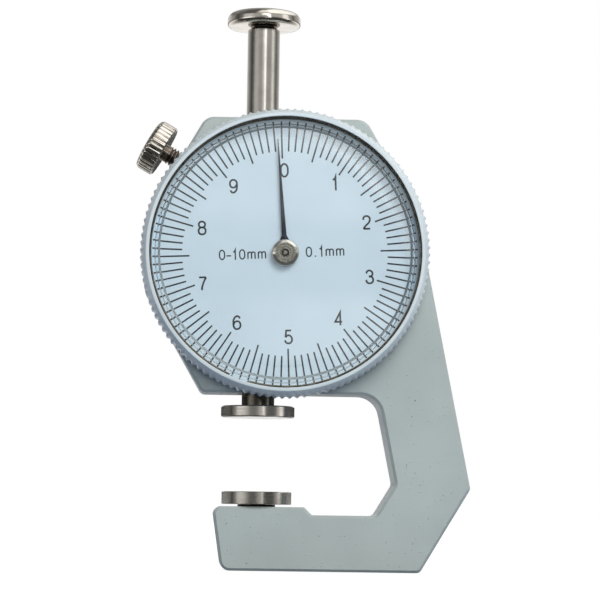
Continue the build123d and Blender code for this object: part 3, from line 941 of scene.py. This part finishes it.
# One pitch of the thread's outline: crest, flank, root, flank, crest
thread_outline = ((thread_radius, 0), (thread_radius, 0.06), (thread_root, 0.2), (thread_root, 0.25),
                  (thread_radius, 0.39), (thread_radius, thread_pitch))
# Pitches that the winding starts below its cut, and how many it has to spare
thread_lead = 1.3
thread_spare = 2
thread_steps = 32
shank_start = 4.47
head_seat = 15.3
head_thickness = 2.6
head_narrowing = 0.25
head_chamfer = 0.2
head_round = 0.75
head_flat = 1.2
neck_radius = 1.15
neck_length = 0.65
neck_sunk = 0.3
neck_segments = 48
flute_steps = 8
flute_profile = (0.0, 0.02, 0.07, 0.2, 0.8, 0.2, 0.07, 0.02)


def thread(start, end):
    """A real screw thread: one pitch, wound by a Screw modifier and cut off square."""
    low = start - thread_lead * thread_pitch
    piece = drawn([(radius, 0, low + height) for radius, height in thread_outline])
    bpy.ops.object.mode_set(mode="OBJECT")
    wind = piece.modifiers.new("wind", "SCREW")
    wind.screw_offset = thread_pitch * mm
    wind.iterations = ceil((end - start) / thread_pitch) + thread_spare
    wind.steps = wind.render_steps = thread_steps
    bpy.ops.object.modifier_apply(modifier=wind.name)
    for height, way in ((start, -1), (end - neck_length, 1)):
        edit_all()
        bpy.ops.mesh.bisect(plane_co=(0, 0, height * mm), plane_no=(0, 0, way), use_fill=True,
                            clear_outer=True, threshold=cut_tolerance)
    tidy(piece)
    neck = turned([(neck_radius, end - neck_length), (neck_radius, end + neck_sunk)], neck_segments)
    return joined([piece, neck])


class GAUGE_OT_lock_screw(Operator):
    """Makes the lock screw with its fluted head and its real thread"""
    bl_idname = "gauge.lock_screw"
    bl_label = "Lock screw"

    def execute(self, context):
        sizes, counts = context.scene.gauge_sizes, context.scene.gauge_counts
        radius, depth = sizes.head_radius / mm, sizes.flute_depth / mm
        face = head_seat + head_thickness
        blank = turned([
            (radius - head_narrowing, head_seat), (radius, head_seat + head_chamfer),
            (radius, face - head_round),
            *corner(radius - head_round, face - head_round, head_round, 15, 90), (head_flat, face)],
            counts.flutes * flute_steps)
        head = fluted(blank, counts.flutes, flute_steps, radius, depth, flute_profile)
        shank = thread(shank_start, head_seat)
        head.data.materials.append(finishes["nickel_plate"])
        shank.data.materials.append(finishes["oiled"])
        piece = joined([head, shank])
        settle(piece, lock_origin, lock_turn)
        finished(piece, "lock_screw_fluted", "lock_screw", "nickel_plate")
        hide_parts("lock_screw")
        return {"FINISHED"}


# Return spring

spring_wire = 0.11
spring_radius = 0.75
spring_turns = 12
spring_steps = 24
spring_roundness = 2
eye_gap = 20


def spring_path(low_eye, high_eye):
    """Points along the wire: an eye round the post, the turns and an eye round the pin."""
    radius = spring_radius
    bends = [radians(eye_gap + (360 - eye_gap) * k / spring_steps) for k in range(spring_steps + 1)]
    path = [(radius * sin(a), 0, low_eye + radius * cos(a)) for a in bends]
    low, high = low_eye + radius, high_eye - radius
    count = spring_turns * spring_steps
    for k in range(count + 1):
        a = 2 * pi * k / spring_steps
        path.append((radius * cos(a), radius * sin(a), low + (high - low) * k / count))
    path += [(0, -radius * sin(a), high_eye - radius * cos(a)) for a in reversed(bends)]
    return path


class GAUGE_OT_return_spring(Operator):
    """Winds the return spring between its post and its pin, at one length; on the gauge it lengthens as the
    spindle rises
    """
    bl_idname = "gauge.return_spring"
    bl_label = "Return spring"

    def execute(self, context):
        start = middle_of("spring_post")
        end = Vector((start.x, 0, middle_of("spring_pin").z))
        path = spring_path(start.z / mm, end.z / mm)
        piece, _, knots = bare_line("POLY", len(path))
        piece.location = (start.x, 0, 0)
        for knot, (x, y, z) in zip(knots, path):
            knot.co = (x * mm, y * mm, z * mm, 1)
        line = piece.data
        line.dimensions = "3D"
        line.bevel_depth = spring_wire * mm
        line.bevel_resolution = spring_roundness
        line.use_fill_caps = True
        bpy.ops.object.convert(target="MESH")
        bpy.ops.object.transform_apply(location=True)
        tidy(piece)
        finished(piece, "return_spring_wound", None, "spring_steel", smooth=60)
        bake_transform(piece)
        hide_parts("return_spring")
        return {"FINISHED"}


# Stage

camera_place = Vector((-8.678, -324.411, -1.972))
# In degrees: how far the camera is turned to the right, lifted and rolled
camera_angles = (2.5, 4.93, 0.86)
camera_lens = 144
camera_nearest = 0.01
floor_size = 4.0
floor_parts = 8
# Each lamp's name, place, size, power and tint
lamps = (("key", (135, -365, 260), 240, 1.24, "#FFFFFC"), ("front", (10, -355, 35), 110, 0.38, "#FCFFFF"))
lamp_target = (5, 0, 25)
paper_glow = 0.8
paper_behind = 2.8
# By metres from the object, how bright the paper is; by metres behind it, what metal mirrors of the paper
# and how much of its glow reaches the object
paper_bright = ((0.12, 1.12), (0.4, 1.3))
paper_mirrored = ((0.0, 0.06), (0.15, 1.15))
paper_reach = ((0.06, 0.0), (0.2, 1.0))
# What metal and glass mirror: azimuth in degrees from the camera's side towards +X, and brightness
studio_low = ((-180, 0.05), (-92, 0.05), (-78, 0.5), (-64, 1.9), (-48, 1.8), (-36, 1.1), (-25, 0.35),
              (-13, 0.25), (-4, 0.35), (6, 1.25), (15, 1.15), (26, 0.15), (41, 0.1), (54, 0.14), (66, 0.8),
              (78, 2.1), (92, 0.25), (108, 0.03), (180, 0.05))
studio_high = ((-180, 1.0), (-140, 0.8), (-118, 0.4), (-92, 0.09), (-75, 0.2), (-62, 0.66), (-47, 0.78),
               (-30, 0.62), (-12, 0.62), (-2, 0.85), (6, 0.95), (10, 0.2), (17, 0.2), (25, 0.65),
               (40, 0.62), (54, 0.66), (64, 1.4), (74, 1.4), (86, 0.45), (102, 0.2), (120, 0.5),
               (150, 0.9), (180, 1.0))
studio_change = (3.5, 7.0)
# Higher up the studio turns into a dim ceiling, with a bright band ahead and to the right
studio_top = (17, 30)
ceiling_level = 0.12
ceiling_band = (54, 34)
ceiling_sides = ((-180, 0.3), (-60, 0.0), (-34, 0.05), (-12, 1.1), (8, 1.15), (30, 1.9), (54, 1.8),
                 (68, 1.5), (100, 1.6), (130, 1.3), (180, 0.3))
# A bright window low on the right, cut off aslant: from which sum of both angles, and how bright
window_edge = (16.8, 19.0)
window_sides = (16, 22)
window_level = 2.6
# An even dim patch about the camera: the middle and half of its heights and of its sides
patch_heights = (5.6, 3.2)
patch_sides = (2, 26)
patch_level = 0.36
# A soft glow above it, that grows from one height to the other
glow_heights = (11.2, 14)
glow_level = 1.5
glow_sides = (2, 14)
# Light on matt surfaces: its level, and the way it leans
fill_level = 0.36
fill_lean = (0.9, -0.1, 0.2)
# More of it comes from the bright paper behind, from one Y of its way to the other
fill_behind = (0.45, 0.85)
behind_level = 4.4
# Heights between which that light turns from its lower to its upper tint
sky_heights = (-30, 20)
sky_tints = ("#B8D4FF", "#F6FAFF")


def near(tree, value, middle, half):
    """One about the middle, and nothing from half a width away."""
    away = worked(tree, "ABSOLUTE", worked(tree, "SUBTRACT", value, middle))
    return fade(tree, away, half * 0.5, half, 1.0, 0.0)


def by_azimuth(tree, azimuth, stops):
    """Brightness by azimuth, from stops of an angle in degrees and a level."""
    turns = worked(tree, "DIVIDE", worked(tree, "ADD", azimuth, 180.0), 360.0)
    return spread(tree, turns, [((angle + 180) / 360, level) for angle, level in stops], "EASE")


def reflections(tree, azimuth, height):
    """How bright the studio is that metal and glass mirror, by direction."""
    change = fade(tree, height, *studio_change)
    total = mixed(tree, change, by_azimuth(tree, azimuth, studio_low), by_azimuth(tree, azimuth, studio_high))
    total = mixed(tree, fade(tree, height, *studio_top), total, ceiling_level)
    sides = by_azimuth(tree, azimuth, ceiling_sides)
    total = worked(tree, "ADD", total, worked(tree, "MULTIPLY", near(tree, height, *ceiling_band), sides))
    patch = worked(tree, "MULTIPLY", near(tree, height, *patch_heights), near(tree, azimuth, *patch_sides))
    total = mixed(tree, patch, total, patch_level)
    below = fade(tree, height, *window_sides, 1.0, 0.0)
    glow = worked(tree, "MULTIPLY", fade(tree, height, *glow_heights, 0.0, glow_level), below)
    total = worked(tree, "ADD", total, worked(tree, "MULTIPLY", glow, near(tree, azimuth, *glow_sides)))
    window = fade(tree, worked(tree, "ADD", azimuth, height), *window_edge, 0.0, window_level)
    for angle in (azimuth, height):
        window = worked(tree, "MULTIPLY", window, fade(tree, angle, *window_sides, 1.0, 0.0))
    return worked(tree, "ADD", total, window)


def even_fill(tree, way, depth):
    """How bright the light on matt surfaces is, by direction."""
    lean = add_node(tree, "ShaderNodeVectorMath", {0: way, 1: fill_lean}, operation="DOT_PRODUCT")
    even = worked(tree, "MULTIPLY", worked(tree, "ADD", lean.outputs["Value"], 1.0), fill_level)
    return worked(tree, "ADD", even, fade(tree, depth, *fill_behind, 0.0, behind_level))


def studio():
    """The surroundings: mirrors meet the studio, matt surfaces an even fill, and the camera white."""
    world = bpy.data.worlds.new("studio")
    bpy.context.scene.world = world
    world.use_nodes = True
    world.cycles.sampling_method = "NONE"
    tree = world.node_tree
    tree.nodes.clear()
    way = add_node(tree, "ShaderNodeTexCoord").outputs["Generated"]
    axes = axes_of(tree, way)
    towards = worked(tree, "MULTIPLY", axes["Y"], -1.0)
    azimuth = worked(tree, "DEGREES", worked(tree, "ARCTAN2", axes["X"], towards))
    height = worked(tree, "DEGREES", worked(tree, "ARCSINE", axes["Z"]))
    sky = mixed(tree, fade(tree, height, *sky_heights), *sky_tints)
    lights = (sky, even_fill(tree, way, axes["Y"])), (1.0, reflections(tree, azimuth, height)), (1.0, 1.0)
    fill, mirror, plain = [
        add_node(tree, "ShaderNodeBackground", {"Color": tint, "Strength": level}).outputs[0]
        for tint, level in lights]
    path = add_node(tree, "ShaderNodeLightPath").outputs
    before = worked(tree, "LESS_THAN", path["Diffuse Depth"], 0.5)
    mirrored = worked(tree, "MULTIPLY", worked(tree, "GREATER_THAN", path["Glossy Depth"], 0.5), before)
    bounces = worked(tree, "ADD", path["Diffuse Depth"], path["Glossy Depth"])
    through = worked(tree, "MULTIPLY", path["Is Transmission Ray"], worked(tree, "LESS_THAN", bounces, 0.5))
    seen = worked(tree, "MAXIMUM", path["Is Camera Ray"], through)
    shown = add_node(tree, "ShaderNodeMixShader", {0: mirrored, 1: fill, 2: mirror})
    final = add_node(tree, "ShaderNodeMixShader", {0: seen, 1: shown.outputs[0], 2: plain})
    add_node(tree, "ShaderNodeOutputWorld", {"Surface": final.outputs[0]})


def paper():
    """White paper, toned only by a shadow. Before the object its light is cool and dim, behind it bright."""
    material, tree, place = new_finish("paper_sweep")
    path = add_node(tree, "ShaderNodeLightPath").outputs
    base = spread(tree, grain(tree, place, 30), [(0.3, "#DADAD8"), (0.7, "#E0E0DE")])
    thrown = mixed(tree, path["Is Diffuse Ray"], base, "#5E6C82")
    lit = add_node(tree, "ShaderNodeBsdfDiffuse", {"Color": thrown})
    behind = axes_of(tree, place)["Y"]
    bright = spread(tree, distance(tree, place), paper_bright)
    strength = mixed(tree, path["Is Glossy Ray"], bright, spread(tree, behind, paper_mirrored))
    strength = mixed(tree, path["Is Diffuse Ray"], strength, paper_behind)
    glow = add_node(tree, "ShaderNodeEmission", {"Color": "#FFFFFF", "Strength": strength})
    share = mixed(tree, path["Is Glossy Ray"], paper_glow, 1.0)
    share = mixed(tree, path["Is Diffuse Ray"], share, spread(tree, behind, paper_reach))
    both = add_node(tree, "ShaderNodeMixShader", {0: share, 1: lit.outputs[0], 2: glow.outputs[0]})
    add_node(tree, "ShaderNodeOutputMaterial", {"Surface": both.outputs[0]})
    return material


def lamp(name, place, size, power, tint):
    """A square soft box aimed at the object; it lights but isn't mirrored."""
    bpy.ops.object.light_add(type="AREA", location=Vector(place) * mm)
    light = bpy.context.object
    light.name = name
    light.data.size = size * mm
    light.data.energy = power
    light.data.color = linear(tint)
    light.visible_glossy = False
    light.visible_transmission = False
    # Rays that the crystal bends never meet the lamp, so its light is taken whole where it is sampled
    light.data.cycles.use_multiple_importance_sampling = False
    aim = (Vector(lamp_target) - Vector(place)).to_track_quat("-Z", "Y")
    light.rotation_euler = aim.to_euler()


def floor_sheet():
    """The sheet of paper, level with the object's lowest point."""
    bpy.ops.mesh.primitive_grid_add(x_subdivisions=floor_parts, y_subdivisions=floor_parts, size=floor_size,
                                    location=(0, 0, cad_box[0][2]))
    floor = added()
    floor.name = "floor"
    floor.data.materials.append(paper())
    return floor


def photographer():
    """The camera, from where and how the photograph was taken."""
    turn, lift, roll = map(radians, camera_angles)
    ahead = Vector((sin(turn) * cos(lift), cos(turn) * cos(lift), sin(lift)))
    level = Vector((cos(turn), -sin(turn), 0))
    upright = level.cross(ahead)
    right = cos(roll) * level + sin(roll) * upright
    up = cos(roll) * upright - sin(roll) * level
    bpy.ops.object.camera_add()
    camera = bpy.context.object
    camera.data.lens = camera_lens
    camera.data.clip_start = camera_nearest
    aim = Matrix((right, up, -ahead)).transposed().to_4x4()
    camera.matrix_world = Matrix.Translation(camera_place * mm) @ aim
    return camera


class GAUGE_OT_stage(Operator):
    """Sets the camera, the floor, the lamps and the studio"""
    bl_idname = "gauge.stage"
    bl_label = "Stage"

    def execute(self, context):
        deselect()
        floor = floor_sheet()
        for facts in lamps:
            lamp(*facts)
        studio()
        context.scene.camera = photographer()
        context.scene.view_settings.view_transform = "Standard"
        return {"FINISHED"}


steps = (GAUGE_OT_finishes, GAUGE_OT_dial_print, GAUGE_OT_bezel, GAUGE_OT_crystal, GAUGE_OT_snap_ring,
         GAUGE_OT_pointer, GAUGE_OT_lifting_cap, GAUGE_OT_lock_screw, GAUGE_OT_return_spring, GAUGE_OT_stage)


class GAUGE_PT_panel(Panel):
    """Lists the gauge's steps and sizes in the sidebar"""
    bl_label = "Dial Thickness Gauge"
    bl_idname = "GAUGE_PT_panel"
    bl_space_type = "VIEW_3D"
    bl_region_type = "UI"
    bl_category = "Gauge"

    def draw(self, context):
        for step in steps:
            self.layout.operator(step.bl_idname)
        for group in (getattr(context.scene, name) for name in groups):
            for name in group.bl_rna.properties.keys():
                if name not in ("rna_type", "name"):
                    self.layout.prop(group, name)


groups = {"gauge_sizes": GaugeSizes, "gauge_counts": GaugeCounts, "gauge_colours": GaugeColours}
kinds = (*groups.values(), *steps, GAUGE_PT_panel)


def register():
    for kind in kinds:
        bpy.utils.register_class(kind)
    for name, group in groups.items():
        setattr(bpy.types.Scene, name, PointerProperty(type=group))


def unregister():
    for name in groups:
        delattr(bpy.types.Scene, name)
    for kind in reversed(kinds):
        bpy.utils.unregister_class(kind)


def main():
    register()
    for step in steps:
        family, name = step.bl_idname.split(".")
        getattr(getattr(bpy.ops, family), name)()
    deselect()


if __name__ == "__main__":
    main()
